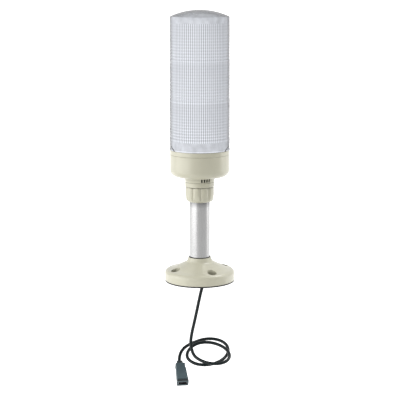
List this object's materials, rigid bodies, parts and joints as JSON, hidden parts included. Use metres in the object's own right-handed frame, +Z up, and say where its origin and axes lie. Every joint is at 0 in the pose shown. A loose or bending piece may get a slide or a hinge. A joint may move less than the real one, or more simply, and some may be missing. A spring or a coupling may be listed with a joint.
{
  "type": "stack light",
  "caption": "Slim clear-lensed stack light on a short pole with a flared panel flange, fluted clamp nut and a thin cable ending in a flat cable socket.",
  "frame": {"origin": "centre of the bolt circle on the underside of the flange gasket, in the plane of the panel", "axes": "+Z up along the pole towards the dome; -Y towards the viewer of the front; +X to the viewer's right"},
  "size_m": [0.0714, 0.0714, 0.3809],
  "materials": {
    "ivory_housing": "satin moulded",
    "clear_cover": "lightly frosted moulded polycarbonate, ribbed",
    "white_optic": "white moulded",
    "milky_sleeve": "milky translucent",
    "satin_aluminium": "drawn, satin anodised",
    "zinc_steel": "zinc plated",
    "black_rubber": "matt",
    "black_catch": "fine textured",
    "board_white": "white solder mask",
    "board_green": "green solder mask",
    "lamp_resin": "lamp resin",
    "component_black": "matt",
    "ribbon_grey": "flat ribbon sleeve",
    "connector_white": "moulded",
    "cord_jacket": "satin jacket",
    "plug_grey": "fine textured",
    "bright_steel": "bright plated sheet",
    "contact_brass": "plated"
  },
  "bodies": {
    "tower": {"flange": "ivory_housing", "flange_gasket": "black_rubber", "collar_seal": "black_rubber", "pole": "satin_aluminium", "pole_locknut": "zinc_steel", "cable_bush": "black_rubber", "housing": "ivory_housing", "lens_catches": "black_catch", "sound_screen": "black_rubber", "lens_seal": "black_rubber", "clamp_ring": "black_catch", "lens_cover": "clear_cover", "lamp_base": "white_optic", "tier_diffuser_1": "milky_sleeve", "led_board_1": "board_white", "leds_1": "lamp_resin", "tier_tray_1": "white_optic", "tier_diffuser_2": "milky_sleeve", "led_board_2": "board_white", "leds_2": "lamp_resin", "tier_tray_2": "white_optic", "tier_diffuser_3": "milky_sleeve", "led_board_3": "board_white", "leds_3": "lamp_resin", "top_plate": "white_optic", "tie_rod": "zinc_steel", "tie_nut": "zinc_steel", "tier_ribbon": "ribbon_grey", "mast_screws": "zinc_steel", "control_board": "board_green", "board_screws": "zinc_steel", "board_chips": "component_black", "sounder": "component_black", "cable_terminal": "connector_white", "inner_cable": "cord_jacket", "cord_drop": "cord_jacket", "cord_coil": "cord_jacket", "cord_tail": "cord_jacket", "plug_relief": "plug_grey", "plug_body": "plug_grey", "plug_shell": "bright_steel", "plug_tongue": "component_black", "plug_contacts": "contact_brass"},
    "clamp_nut": {"clamp_nut": "ivory_housing"}
  },
  "joints": [
    {"name": "clamp_nut_turn", "type": "hinge", "parent": "tower", "child": "clamp_nut", "pos_m": [0, 0, 0.0926], "axis": [0, 0, -1], "range_deg": [0, 90]}
  ]
}
